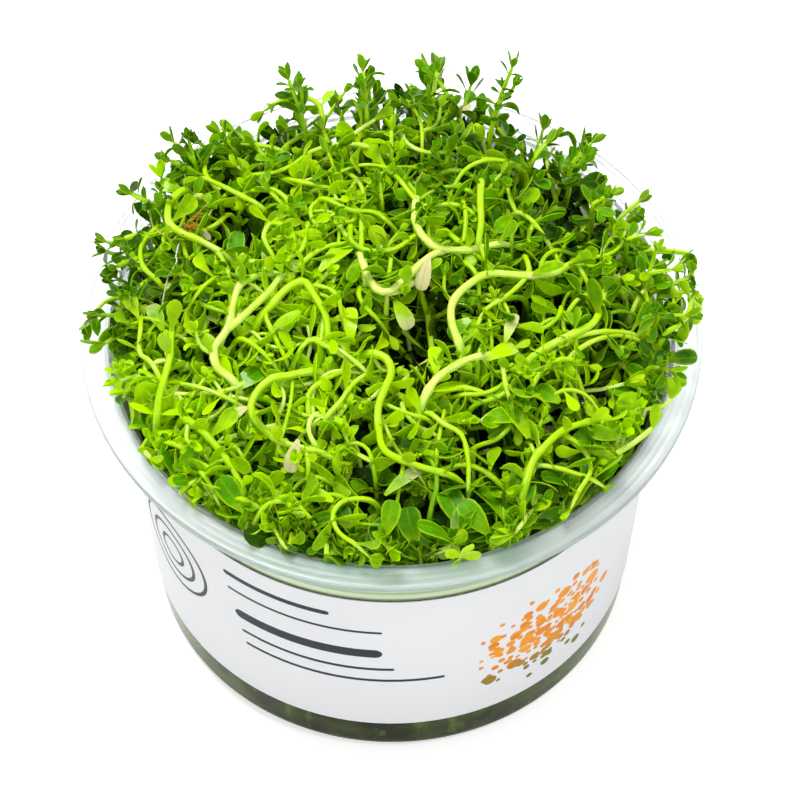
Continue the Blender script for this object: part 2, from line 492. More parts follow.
class Growth:
    """Leaves and stems of one piece, collected before they become a mesh."""

    def __init__(self, seed):
        self.dice = np.random.default_rng(seed)
        self.leaves = []
        self.stems = {count: [] for count in STEMS}

    def add_stem(self, stem, radii, tone, age=0.0):
        """Add one stem, with its radius at each station."""
        radii = np.broadcast_to(radii, len(stem.stations))
        self.stems[len(stem.stations)].append((stem.stations, stem.sides, stem.others, radii, tone, age))

    def add_leaf(self, root, way, face, length, width, outline, curl, fold, tone, age=0.0, gloss=None):
        """Add one leaf: way points to its tip and face is the side that looks up."""
        way = unit(way)
        face = unit(face - way * face.dot(way))
        bent = curl if abs(curl) > LEAST_CURL else LEAST_CURL
        tip = root + way * length * math.sin(bent) / bent + face * length * (1.0 - math.cos(bent)) / bent
        outward = unit(tip * (1.0, 1.0, 0.0))
        if math.hypot(tip[0], tip[1]) > reach_limit(tip[2], tip[1]):
            way = unit(way - outward * (way.dot(outward) + 0.15))
            face = unit(face - way * face.dot(way))
        chance = self.dice.random() ** 2.2
        gloss = chance if gloss is None else gloss
        self.leaves.append((*root, *way, *face, length, width, curl, fold, tone, age, gloss, outline))

    def add_pair(self, stem, distance, phase, lift, size, outline, tone, worn=0.0):
        """Add two opposite leaves at a distance below a stem's tip."""
        dice = self.dice
        root, along, side, other = stem.below_tip(distance)
        depth = canopy_height(root[0], root[1]) - root[2]
        inner = np.interp(math.hypot(root[0], root[1]), SHADE_RADII, SHADE_SHARES)
        tone = max(tone - DEPTH_SHADE * inner * max(depth / MM - SHADE_START_MM, 0.0), DEEPEST_TONE)
        for sign in (1.0, -1.0):
            turn = phase + dice.uniform(-0.3, 0.3)
            outward = sign * sideways(side, other, turn)
            way = outward + along * (lift + dice.uniform(-0.4, 0.4)) + dice.normal(0.0, 0.12, 3)
            face = along + UP * 0.25 + dice.normal(0.0, 0.32, 3)
            length = size * dice.uniform(0.78, 1.18)
            share = dice.uniform(0.40, 0.53) * (1.25 if outline == ROUND else 1.0)
            self.add_leaf(
                root + outward * 0.3 * MM, way, face, length, length * share,
                outline, dice.uniform(-1.5, 0.7), dice.uniform(-0.1, 0.55),
                tone + dice.normal(0.0, 0.07), dice.uniform(0.4, 1.0) * (dice.random() < worn),
            )

    def add_bud(self, stem, phase, size, tone):
        """Add the small folded leaves at a stem's growing tip."""
        dice = self.dice
        root, along, side, other = stem.below_tip(0.0)
        for step in range(4):
            turn = phase + step * math.pi / 2
            outward = sideways(side, other, turn)
            length = size * dice.uniform(0.42, 0.66)
            self.add_leaf(
                root, along + outward * dice.uniform(0.3, 0.9), along - outward * 0.9, length,
                length * 0.48, OBLONG, dice.uniform(-0.2, 0.8), 0.3, tone + 0.12,
            )

    def add_foliage(self, stem, depth, spacing, size, outline, tone, phase=0.0, lift=0.8, worn=0.0):
        """Clothe a stem with crossed leaf pairs, from its tip down to a depth, and a bud on top."""
        distance = spacing * 0.3
        number = 0
        while distance < min(depth, stem.total - 1.0 * MM):
            grown = min(1.0, 0.6 + 0.2 * number)
            self.add_pair(
                stem, distance, phase + number * math.pi / 2, lift - 0.16 * min(number, 3),
                size * grown, outline, tone - 0.03 * number, worn,
            )
            distance += spacing * self.dice.uniform(0.8, 1.2) * (0.75 + 0.12 * min(number, 4))
            number += 1
        self.add_bud(stem, phase, size, tone)

    def add_branch(self, stem, distance, turn, length, size, tone):
        """Add a short side shoot with its own small leaves."""
        root, along, side, other = stem.below_tip(distance)
        outward = sideways(side, other, turn)
        middle = root + (outward * 0.75 + along * 0.45 + UP * 0.1) * length * 0.55
        tip = middle + (outward * 0.3 + along * 0.6 + UP * 0.45) * length * 0.5
        branch = Stem([root, middle, tip], SHORT_STATIONS, along, 1.0)
        self.add_stem(branch, np.linspace(0.42, 0.28, SHORT_STATIONS) * MM, tone + 0.15)
        self.add_foliage(branch, length * 0.8, 2.6 * MM, size, SPOON, tone, turn)


def leaf_points(rows):
    """Bend the leaf template into every leaf of a piece at once; return points, places and tones."""
    rows = np.array(rows)
    template = LEAF[0]
    station = template[:, 0].astype(int)
    along = LEAF_STATIONS[station][None]
    across = template[:, 1][None]
    above = template[:, 2][None] * 2.0 - 1.0
    root, way, face = (rows[:, None, first:first + 3] for first in (0, 3, 6))
    length, width, curl, fold, tone, age, gloss = (rows[:, column, None] for column in range(9, 16))
    half = LEAF_OUTLINES[rows[:, 16].astype(int)][:, station] * width / 2
    curl = np.where(np.abs(curl) < LEAST_CURL, LEAST_CURL, curl)
    turn = curl * along
    ahead = length * np.sin(turn) / curl
    lift = length * (1.0 - np.cos(turn)) / curl
    channel = fold * np.abs(across) * half
    skin = above * LEAF_THICKNESS / 2 * (1.0 - 0.65 * np.abs(across)) * (0.45 + 0.55 * half / half.max())
    rise = (channel + skin)[..., None]
    turned = face * np.cos(turn)[..., None] - way * np.sin(turn)[..., None]
    points = root + way * ahead[..., None] + face * lift[..., None] + turned * rise
    points = points + np.cross(face, way) * (across * half)[..., None]
    return points, layer((along, across, above), points), layer((tone, age, gloss), points)


def stem_points(rows, count):
    """Wrap the stem template round every stem of one kind; return points, places and tones."""
    template = STEMS[count][0]
    station = np.rint(template[:, 2]).astype(int)
    centres, sides, others, radii = (np.array([row[part] for row in rows]) for part in range(4))
    tone, age = (np.array([row[part] for row in rows])[:, None] for part in (4, 5))
    spread = sides[:, station] * template[:, 0, None] + others[:, station] * template[:, 1, None]
    points = centres[:, station] + spread * radii[:, station, None]
    along = (station / (count - 1))[None]
    turn = np.arctan2(template[:, 1], template[:, 0])[None] / math.pi
    return points, layer((along, turn, 0.0 * along), points), layer((tone, age, 0.0 * tone), points)


def layer(values, points):
    """Three numbers for each point, stretched to every copy."""
    return np.stack([np.broadcast_to(value, points.shape[:2]) for value in values], -1)


def add_piece(name, mesh, finishes, sharp, node):
    """Give a mesh its finishes and shading, and put it in the scene in the place of its node."""
    for finish in finishes:
        mesh.materials.append(finish)
    mesh.shade_smooth()
    mesh.set_sharp_from_angle(angle=math.radians(sharp))
    piece = bpy.data.objects.new(name, mesh)
    bpy.context.scene.collection.objects.link(piece)
    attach(piece, "root")
    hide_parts(node)


def make_growth(name, growth, finishes, node):
    """Join the leaves and stems of one piece into one mesh object."""
    parts = []
    if growth.leaves:
        parts.append((LEAF, leaf_points(growth.leaves), 0))
    for count, rows in growth.stems.items():
        if rows:
            parts.append((STEMS[count], stem_points(rows, count), 1))
    corners, sizes, finish_numbers, points, places, tones = [], [], [], [], [], []
    offset = 0
    for (shape, part_corners, part_sizes), (part_points, part_places, part_tones), finish in parts:
        copies = len(part_points)
        starts = offset + np.arange(copies)[:, None] * len(shape)
        corners.append((part_corners[None] + starts).ravel())
        sizes.append(np.tile(part_sizes, copies))
        finish_numbers.append(np.full(copies * len(part_sizes), finish))
        points.append(part_points.reshape(-1, 3))
        places.append(part_places.reshape(-1, 3))
        tones.append(part_tones.reshape(-1, 3))
        offset += copies * len(shape)
    faces = (corners, sizes, finish_numbers)
    corners, sizes, finish_numbers = (np.concatenate(part) for part in faces)
    points, places, tones = (np.concatenate(part) for part in (points, places, tones))
    mesh = bpy.data.meshes.new(name)
    mesh.vertices.add(len(points))
    mesh.loops.add(len(corners))
    mesh.polygons.add(len(sizes))
    mesh.vertices.foreach_set("co", points.ravel())
    mesh.loops.foreach_set("vertex_index", corners)
    mesh.polygons.foreach_set("loop_start", np.concatenate(([0], np.cumsum(sizes)[:-1])))
    mesh.update(calc_edges=True)
    mesh.polygons.foreach_set("material_index", finish_numbers)
    for label, values in (("place", places), ("tone", tones)):
        attribute = mesh.attributes.new(label, "FLOAT_VECTOR", "POINT")
        attribute.data.foreach_set("vector", values.ravel())
    add_piece(name, mesh, finishes, GROWTH_SHARP, node)


# Plants


def region_tone(x, y):
    """How bright the leaves are over a point: lightest in the middle, deeper at the back and sides."""
    radius = math.hypot(x, y) / CANOPY_RADIUS
    tone = MIDDLE_TONE - RIM_DROP * radius ** 3 - BACK_DROP * max(y, 0.0) / CANOPY_RADIUS
    for centre_x, centre_y, reach, change in TONE_PATCHES_MM:
        away = math.hypot(x - centre_x * MM, y - centre_y * MM) / (reach * MM)
        tone += change * math.exp(-away ** 2)
    return tone


def crest(x, y):
    """How far the tallest small shoots stand over the canopy: most at the back, least in front."""
    back = min(max((y - 4.0 * MM) / (30.0 * MM), 0.0), 1.0)
    ridge = math.exp(-((x - 7.0 * MM) / (13.0 * MM)) ** 4)
    left = max(-x / CANOPY_RADIUS, 0.0) ** 2
    shoulder = math.exp(-((x + 40.0 * MM) / (10.0 * MM)) ** 2 - ((y - 20.0 * MM) / (9.0 * MM)) ** 2)
    return (1.2 + back * (1.0 + 5.0 * ridge) + 2.5 * left * (1.0 - back) + 5.0 * shoulder) * MM


def beds(routes_mm, bed_mm):
    """Shallow beds, a radius and a depth each, between the points of the routes."""
    steps = [step for route in routes_mm for step in zip(route, route[1:])]
    return [((x0 + x1) / 2, (y0 + y1) / 2, *bed_mm) for (x0, y0), (x1, y1) in steps]


HOLLOWS = HOLLOWS_MM + beds(RUNNER_ROUTES_MM + JUICY_ROUTES_MM, RUNNER_BED_MM)
HOLLOWS = np.array(HOLLOWS + beds(THIN_ROUTES_MM, THIN_BED_MM)) * MM


def hollow_at(x, y):
    """How far the shoots drop over a point, into a dark hollow or under a thick stem."""
    spread = (HOLLOWS[:, 0] - x) ** 2 + (HOLLOWS[:, 1] - y) ** 2
    return float(np.max(HOLLOWS[:, 3] * np.exp(-spread / HOLLOWS[:, 2] ** 2)))


def clump_of(x, y):
    """Number of the clump that a point of the base lies in."""
    radius = math.hypot(x, y)
    angle = math.atan2(y, x) % (2 * math.pi)
    if radius < MIDDLE_CLUMP_RADIUS:
        return 1
    if radius < INNER_CLUMPS_RADIUS:
        return 2 + int((angle / (2 * math.pi) * INNER_CLUMPS + 0.5)) % INNER_CLUMPS
    return 2 + INNER_CLUMPS + int((angle / (2 * math.pi) * OUTER_CLUMPS + 0.5)) % OUTER_CLUMPS


def shoot_points(dice, x, y):
    """A small shoot's way from the gel to the canopy, its heading, and the kind of its top."""
    outward = unit(np.array((x, y, 0.0)))
    edge = (math.hypot(x, y) / CANOPY_RADIUS) ** 2
    front = max(-y / CANOPY_RADIUS, 0.0)
    back = max(y / CANOPY_RADIUS, 0.0)
    heading = dice.uniform(0.0, 2 * math.pi)
    kind = LYING if dice.random() < 0.66 - 0.3 * edge - 0.3 * back else STANDING
    lay = dice.uniform(*kind["reach"]) * MM * (1.0 - 0.35 * edge)
    way = level(heading)
    swing = level(heading + math.pi / 2) * dice.uniform(-0.55, 0.55) * lay
    lean = outward * edge * dice.uniform(0.0, 7.0) * MM * (1.0 - 0.4 * front - 0.6 * back ** 2)
    tip = np.array((x, y, 0.0)) + way * lay + lean
    room = np.interp(tip[1], RIM_DEPTHS, ROOM_OVER_RIM) - 1.0 * MM
    tip[:2] *= min(1.0, room / max(math.hypot(tip[0], tip[1]), MM))
    fall = dice.uniform(-2.2, 1.8) if kind is LYING else 0.6 + 7.5 * dice.random()
    fall *= 1.0 - 0.75 * edge * math.sqrt(front)
    tip[2] = canopy_height(tip[0], tip[1]) + crest(tip[0], tip[1]) * dice.random() ** 2 - fall * MM
    tip[2] -= hollow_at(tip[0], tip[1])
    rise = dice.uniform(8.0, 14.0) * MM
    start = np.array((x * 0.96, y * 0.96, tip[2] - rise))
    foot = np.array((x * 0.9, y * 0.9, GEL_TOP - 1.0 * MM))
    arch = rise * (1.0 - 0.6 * back)
    elbow = start * 0.62 + tip * 0.38 + UP * arch * dice.uniform(0.2, 0.42) + swing
    crown = start * 0.22 + tip * 0.78 + UP * arch * dice.uniform(0.0, 0.3) + swing * 0.5
    return [foot, (foot + start) / 2, start, elbow, crown, tip], way, kind


def grow_small_shoot(growth, x, y):
    """One small shoot, from the gel up to the canopy; its top stands, arches or lies over the rest."""
    dice = growth.dice
    points, way, kind = shoot_points(dice, x, y)
    front = max(-y / CANOPY_RADIUS, 0.0)
    back = max(y / CANOPY_RADIUS, 0.0)
    stem = Stem(points, FINE_STATIONS, way, 1.9)
    thick = dice.uniform(*kind["stem"]) * MM
    tip = points[-1]
    tone = float(np.clip(region_tone(tip[0], tip[1]) + dice.normal(0.0, 0.2), *SHOOT_TONES))
    growth.add_stem(stem, np.linspace(thick, thick * 0.62, FINE_STATIONS), tone + 0.46)
    outline = dice.choice((SPOON, OBLONG, POINTED), p=(0.46, 0.38 - 0.3 * back, 0.16 + 0.3 * back))
    size = dice.uniform(*kind["leaf"]) * MM * (1.0 + 0.40 * front ** 2 - 0.08 * back)
    spacing = dice.uniform(*kind["spacing"]) * MM
    depth = CLOTHED_OUTSIDE if math.hypot(x, y) > INNER_CLUMPS_RADIUS else CLOTHED_INSIDE
    phase = dice.uniform(0.0, math.pi)
    growth.add_foliage(stem, depth, spacing, size, outline, tone, phase, 0.8 + 0.7 * back, worn=0.01)


def grow_rim_shoot(growth, angle):
    """A shoot close inside the front rim, with broad level leaves that touch the flange's inner edge."""
    dice = growth.dice
    outward = level(angle)
    reach = dice.uniform(*RIM_TOP_RADIUS_MM) * MM
    top = outward * reach + UP * (CUP_TOP + dice.uniform(*RIM_TOP_RISE_MM) * MM)
    low = outward * (reach - 1.5 * MM) + UP * (CUP_TOP - 9.0 * MM)
    side = level(angle + math.pi / 2) * dice.uniform(-2.0, 2.0) * MM
    stem = Stem([low - UP * 12.0 * MM, low, (low + top) / 2 + side, top], FINE_STATIONS, outward, 1.3)
    tone = region_tone(top[0], top[1]) + dice.normal(-0.04, 0.14)
    growth.add_stem(stem, np.linspace(0.55, 0.4, FINE_STATIONS) * MM, tone + 0.4)
    size = dice.uniform(*RIM_LEAF_MM) * MM * (0.80 - 0.20 * outward[1])
    for number in range(3):
        growth.add_pair(
            stem, (RIM_FIRST_PAIR_MM + RIM_PAIR_SPACING_MM * number) * MM,
            number * math.pi / 2 + dice.uniform(-0.3, 0.3), 0.15,
            size, (ROUND, OBLONG)[number % 2], tone,
        )
    growth.add_bud(stem, 0.4, size * 0.7, tone)


def runner_route(route_mm, clearance, arch):
    """A winding stem's way over the mound, with its rooted end led down between the leaves."""
    last = len(route_mm) - 1
    points = []
    for index, point_mm in enumerate(route_mm):
        x, y = in_metres(point_mm)
        rise = arch * math.sin(math.pi * index / last)
        points.append(np.array((x, y, canopy_height(x, y) + clearance + rise)))
    back = unit(points[0] - points[1])
    down = points[0] + back * 1.8 * MM - UP * 3.5 * MM
    root = down + back * 0.8 * MM - UP * 9.0 * MM
    ahead = unit(points[-1] - points[-2])
    dip = points[-1] + ahead * 2.5 * MM - UP * 1.2 * MM
    return [root, down, *points, dip]


def grow_runner(growth, route, count, thick, shares, size, tone):
    """A juicy stem with swollen joints, leaf pairs and short side shoots."""
    dice = growth.dice
    stem = Stem(route, count, unit(np.cross(route[2] - route[1], UP)))
    marks = np.linspace(0.0, 1.0, count)
    radii = thick * (1.0 - 0.36 * marks)
    for share in shares:
        radii *= 1.0 + 0.24 * np.exp(-((marks - share) / 0.016) ** 2)
    radii *= 1.0 + 0.07 * np.sin(marks * dice.uniform(40.0, 60.0)) * np.sin(marks * 17.0)
    radii[-2:] *= (0.85, 0.45)
    growth.add_stem(stem, radii, tone)
    for number, share in enumerate(shares):
        distance = stem.total * (1.0 - share)
        root = stem.below_tip(distance)[0]
        leaf_tone = min(region_tone(root[0], root[1]) + 0.34, 0.9)
        outline = (SPOON, OBLONG)[number % 2]
        length = size * dice.uniform(0.8, 1.1)
        growth.add_pair(stem, distance, 0.4 * number, 0.5, length, outline, leaf_tone)
        if dice.random() < BRANCH_CHANCE:
            turn = dice.uniform(0.4, 2.7)
            growth.add_branch(stem, distance, turn, dice.uniform(4.0, 8.0) * MM, size * 0.75, leaf_tone)
    growth.add_bud(stem, 0.5, size, leaf_tone)


def arc_route(dice, x, y):
    """A short bowed way over the canopy, that starts at a point of the base."""
    heading = dice.uniform(0.0, 2 * math.pi)
    bend = dice.uniform(-1.5, 1.5)
    step = dice.uniform(*ARC_STEP_MM)
    route_mm = [(x / MM, y / MM)]
    for index in range(3):
        angle = heading + bend * index / 2
        x_mm, y_mm = route_mm[-1]
        route_mm.append((x_mm + step * math.cos(angle), y_mm + step * math.sin(angle)))
    return route_mm


def disc_spots(count, disc, first_turn=0.0):
    """Points spread evenly over a disc, along a golden spiral."""
    for index in range(count):
        radius = disc * math.sqrt((index + 0.5) / count)
        angle = index * GOLDEN_ANGLE + first_turn
        yield radius * math.cos(angle), radius * math.sin(angle)


def add_single_leaves(clumps):
    """Leaves that stand out by their size, gloss or age."""
    for foot_mm, tip_mm, width, tone, age, gloss in SINGLE_LEAVES_MM:
        foot, tip = (
            np.array(point) * MM + UP * canopy_height(*in_metres(point[:2]))
            for point in (foot_mm, tip_mm)
        )
        way = tip - foot
        clumps[clump_of(*foot[:2])].add_leaf(
            foot, way + UP * 0.5 * MM, UP, np.linalg.norm(way) * 1.08, width * MM,
            ROUND, -0.8, 0.15, tone, age, gloss,
        )


def add_brown_roots(growth):
    """A small tangle of brown roots on the elbow of a thick stem."""
    dice = growth.dice
    x, y, rise = in_metres(BROWN_ROOTS_MM)
    centre = np.array((x, y, canopy_height(x, y) + rise))
    for number in range(BROWN_ROOTS):
        heading = level(dice.uniform(-0.9, 0.9) + math.pi * (number % 4 == 0))
        points = [centre + dice.normal(0.0, 0.5, 3) * MM]
        for _ in range(3):
            ahead = points[-1] + heading * dice.uniform(0.6, 1.5) * MM
            points.append(ahead + dice.normal(0.0, 0.55, 3) * MM)
        root = Stem(points, FINE_STATIONS, UP + level(1.0))
        growth.add_stem(root, np.linspace(0.2, 0.08, FINE_STATIONS) * MM, 0.5, 2.0)


def add_winding_stems(clumps, dice):
    """Thin and juicy stems on their routes, short bowed ones over the mound, and the loose root."""
    for number, route_mm in enumerate(THIN_ROUTES_MM):
        route = runner_route(route_mm, dice.uniform(*THIN_CLEARANCE_MM) * MM, THIN_ARCH)
        growth = clumps[clump_of(*in_metres(route_mm[0]))]
        grow_runner(growth, route, MIDDLE_STATIONS, *THIN_KIND, THIN_TONES[number % len(THIN_TONES)])
    for route_mm, tone in zip(JUICY_ROUTES_MM, JUICY_TONES):
        growth = clumps[clump_of(*in_metres(route_mm[0]))]
        grow_runner(growth, runner_route(route_mm, *JUICY_LIFT), MIDDLE_STATIONS, *JUICY_KIND, tone)
    for spot in disc_spots(ARC_COUNT, ARC_DISC, ARC_FIRST_TURN):
        x, y = ARC_CENTRE + spot
        if hollow_at(x, y) > ARC_HOLLOW:
            continue
        route_mm = arc_route(dice, x, y)
        clearance = dice.uniform(*ARC_CLEARANCE_MM) * MM
        route = runner_route(route_mm, clearance, dice.uniform(*ARC_ARCH_MM) * MM)
        thick = dice.uniform(*ARC_RADIUS_MM) * MM
        tone = region_tone(x, y) + dice.uniform(0.1, 0.55)
        grow_runner(clumps[clump_of(x, y)], route, MIDDLE_STATIONS, thick, *ARC_LEAVES, tone)
    root = Stem(runner_route(LOOSE_ROOT_MM, *LOOSE_ROOT_LIFT), MIDDLE_STATIONS, UP + level(1.0))
    clumps[clump_of(*in_metres(LOOSE_ROOT_MM[0]))].add_stem(root, 0.11 * MM, 1.0, 0.9)


def make_shoots(finishes):
    """Small shoots and thin winding stems, one piece for each clump of the frame."""
    numbers = range(1, 2 + INNER_CLUMPS + OUTER_CLUMPS)
    clumps = {number: Growth(CLUMP_SEED + number) for number in numbers}
    dice = np.random.default_rng(SPREAD_SEED)
    for spot in disc_spots(SHOOT_COUNT, SHOOT_DISC):
        x, y = (value + dice.uniform(-1.0, 1.0) * MM for value in spot)
        grow_small_shoot(clumps[clump_of(x, y)], x, y)
    for index in range(RIM_SHOOTS):
        angle = math.pi * (1.03 + 0.94 * (index + dice.uniform(0.1, 0.9)) / RIM_SHOOTS)
        spot = level(angle) * RIM_FOOT_RADIUS
        grow_rim_shoot(clumps[clump_of(spot[0], spot[1])], angle)
    add_winding_stems(clumps, dice)
    add_single_leaves(clumps)
    add_brown_roots(clumps[clump_of(*in_metres(BROWN_ROOTS_MM[:2]))])
    for number, growth in clumps.items():
        name = f"small_shoots_{number:02d}"
        make_growth(name, growth, finishes, f"tuft_{number:02d}")


def make_sprigs(finishes):
    """The taller sprigs, each in the place of its own node and rooted among the small shoots."""
    for number, tip_mm in enumerate(SPRIG_TIPS_MM, 1):
        growth = Growth(SPRIG_SEED + number)
        dice = growth.dice
        tip = np.array(tip_mm) * MM
        outward = unit(tip * (1.0, 1.0, 0.0))
        spread = math.hypot(tip[0], tip[1])
        end = tip - outward * SPRIG_TOP_LEAF_REACH * min(1.0, spread / CANOPY_RADIUS)
        end -= UP * SPRIG_TOP_LEAF_RISE
        rise = end[2] - canopy_height(end[0], end[1])
        pull = min(SPRIG_LEAN * rise + SPRIG_LEAST_LEAN, SPRIG_MOST_LEAN)
        foot = end - outward * pull
        foot[2] = canopy_height(foot[0], foot[1]) + SPRIG_FOOT
        middle = (foot + end) / 2 + (UP * rise - outward * pull) * SPRIG_BOW
        root = foot - outward * 2.0 * MM - UP * 16.0 * MM
        points = [root, foot - UP * 6.0 * MM, foot, middle, end]
        stem = Stem(points, FINE_STATIONS, level(SPRIG_TURN * number), 1.5)
        tone = region_tone(end[0], end[1]) - 0.04
        growth.add_stem(stem, np.linspace(0.52, 0.32, FINE_STATIONS) * MM, tone + 0.24)
        outline = (SPOON, OBLONG, SPOON)[number % 3]
        depth = stem.total - 4.0 * MM
        growth.add_foliage(stem, depth, SPRIG_LEAF_SPACING, SPRIG_LEAF, outline, tone)
        for distance in SPRIG_BRANCHES:
            turn = dice.uniform(0.0, 2 * math.pi)
            length = dice.uniform(3.0, 5.5) * MM
            growth.add_branch(stem, distance, turn, length, SPRIG_BRANCH_LEAF, tone)
        name = f"leafy_sprig_{number:02d}"
        make_growth(name, growth, finishes, f"sprig_{number:02d}")


def make_runners(finishes):
    """The thick pale stems that wind over the mound, each in the place of its own node."""
    for number, (route_mm, tone) in enumerate(zip(RUNNER_ROUTES_MM, RUNNER_TONES), 1):
        growth = Growth(RUNNER_SEED + number)
        grow_runner(growth, runner_route(route_mm, *RUNNER_LIFT), THICK_STATIONS, *RUNNER_KIND, tone)
        name = f"winding_stem_{number:02d}"
        make_growth(name, growth, finishes, f"runner_{number:02d}")


# Pot


def turn_profile(profile):
    """Spin a closed (radius, height) outline round the Z axis; ends on the axis close there."""
    bm = bmesh.new()
    verts = [bm.verts.new((radius, 0.0, height)) for radius, height in profile]
    pairs = zip(verts, verts[1:] + verts[:1])
    edges = [bm.edges.new(pair) for pair in pairs if max(vert.co.x for vert in pair) > 0.0]
    bmesh.ops.spin(
        bm, geom=verts + edges, cent=(0, 0, 0), axis=(0, 0, 1),
        angle=2 * math.pi, steps=ROUND_STEPS, use_merge=True,
    )
    bmesh.ops.remove_doubles(bm, verts=bm.verts, dist=0.001 * MM)
    bmesh.ops.recalc_face_normals(bm, faces=bm.faces)
    return bm


def arc(centre, radius, start, end, steps):
    """Points of an arc in the (radius, height) plane, between two angles in degrees."""
    angles = [math.radians(start + (end - start) * step / steps) for step in range(steps + 1)]
    return [(centre[0] + radius * math.cos(a), centre[1] + radius * math.sin(a)) for a in angles]


def body_radius(height):
    """Outer radius of the cup's tapered body at a height."""
    share = (height - BASE_CORNER) / (LEDGE_BOTTOM - BASE_CORNER)
    return BODY_BASE_RADIUS + (BODY_TOP_RADIUS - BODY_BASE_RADIUS) * share


def finish_turned(name, bm, finishes, node, sharp=35):
    """Turn a lathe-made bmesh into the piece that stands for a node."""
    mesh = bpy.data.meshes.new(name)
    bm.to_mesh(mesh)
    bm.free()
    add_piece(name, mesh, finishes, sharp, node)


def make_cup(finishes):
    """Cup with a rolled flange edge and shallow rings; foot, body, ledge and flange have a finish each."""
    underside = CUP_TOP - FLANGE_THICKNESS
    middle = BODY_BASE_RADIUS - BASE_CORNER
    lip = 0.45 * MM
    ring = 0.05 * MM
    inner = BASE_CORNER - CUP_WALL
    outside = [(0.0, 0.0)]
    outside += arc((middle, BASE_CORNER), BASE_CORNER, -90, 0, 8)
    outside += [(body_radius(height), height) for height in (LABEL_BOTTOM, LABEL_TOP, LEDGE_BOTTOM)]
    outside += [(COLLAR_RADIUS - 0.5 * MM, LEDGE_TOP - 1.0 * MM), (COLLAR_RADIUS, LEDGE_TOP)]
    outside += [(COLLAR_RADIUS + 0.5 * MM, underside - 0.4 * MM), (COLLAR_RADIUS + 0.9 * MM, underside)]
    outside += [(FLANGE_RADIUS - 2 * lip, underside)]
    outside += [(FLANGE_RADIUS - 2 * lip, CUP_TOP - FLANGE_LIP_DROP + 0.3 * lip)]
    outside += arc((FLANGE_RADIUS - lip, CUP_TOP - FLANGE_LIP_DROP + lip), lip, 220, 360, 6)
    outside += arc((FLANGE_RADIUS - lip, CUP_TOP - lip), lip, 0, 90, 5)
    inside = []
    for radius in in_metres(FLANGE_RINGS_MM):
        inside += [(radius + 0.2 * MM, CUP_TOP), (radius, CUP_TOP - ring), (radius - 0.2 * MM, CUP_TOP)]
    inside += arc((FLANGE_INNER_RADIUS + 0.2 * MM, CUP_TOP - 0.25 * MM), 0.25 * MM, 90, 180, 3)
    inside += [(SEAT_RADIUS + 0.4 * MM, CUP_TOP - SEAT_DROP), (SEAT_RADIUS, CUP_TOP - SEAT_DROP - 0.2 * MM)]
    inside += [(COLLAR_RADIUS - CUP_WALL, LEDGE_TOP + 0.3 * MM)]
    inside += [(COLLAR_RADIUS - CUP_WALL - 0.4 * MM, LEDGE_TOP - 0.6 * MM)]
    inside += [(BODY_TOP_RADIUS - CUP_WALL, LEDGE_BOTTOM + 0.6 * MM)]
    inside += [(body_radius(height) - CUP_WALL, height) for height in (LABEL_TOP, LABEL_BOTTOM)]
    inside += reversed(arc((middle, CUP_FLOOR + inner), inner, -90, 0, 6))
    inside += [(0.0, CUP_FLOOR)]
    bm = turn_profile(outside + inside)
    for face in bm.faces:
        height = face.calc_center_median().z
        face.material_index = sum(height > border for border in (LABEL_BOTTOM, LABEL_TOP, LEDGE_TOP))
    finish_turned("culture_cup", bm, finishes, "cup")


def make_label(finish):
    """Wrap-round label that lies close on the tapered body."""
    low = body_radius(LABEL_BOTTOM) + LABEL_GAP
    high = body_radius(LABEL_TOP) + LABEL_GAP
    edge = 0.06 * MM
    outline = [
        (low, LABEL_BOTTOM + edge),
        (low + edge, LABEL_BOTTOM),
        (low + LABEL_THICKNESS, LABEL_BOTTOM + edge),
        (high + LABEL_THICKNESS, LABEL_TOP - edge),
        (high + edge, LABEL_TOP),
        (high, LABEL_TOP - edge),
    ]
    finish_turned("wrap_label", turn_profile(outline), (finish,), "label", 60)


def make_gel(finish):
    """Set gel in the foot of the cup, with a raised edge where it clings to the wall."""
    clear = CUP_WALL + 0.15 * MM
    wall = body_radius(GEL_TOP) - clear
    corner = BASE_CORNER - clear
    middle = (BODY_BASE_RADIUS - BASE_CORNER, GEL_BOTTOM + corner)
    outline = [
        (0.0, GEL_BOTTOM),
        *arc(middle, corner, -90, 0, 5),
        (wall, GEL_TOP),
        (wall - 0.8 * MM, GEL_TOP - 0.5 * MM),
        (wall - 3.0 * MM, GEL_TOP - 0.9 * MM),
        (0.0, GEL_TOP - 1.0 * MM),
    ]
    finish_turned("set_gel", turn_profile(outline), (finish,), "nutrient_gel")


# Finishes


class Value:
    """One number of a material, which can be added, subtracted, multiplied and smoothed."""

    def __init__(self, nodes, socket):
        self.nodes = nodes
        self.socket = socket

    def __add__(self, other):
        return self.nodes.math("ADD", self, other)

    def __sub__(self, other):
        return self.nodes.math("SUBTRACT", self, other)

    def __rsub__(self, other):
        return self.nodes.math("SUBTRACT", other, self)

    def __mul__(self, other):
        return self.nodes.math("MULTIPLY", self, other)

    def __abs__(self):
        return self.nodes.math("ABSOLUTE", self)

    def smooth(self, low, high):
        """0 at low, 1 at high and a soft step between."""
        inputs = {0: self, 1: low, 2: high}
        step = self.nodes.add("ShaderNodeMapRange", inputs, interpolation_type="SMOOTHSTEP")
        return Value(self.nodes, step.outputs[0])


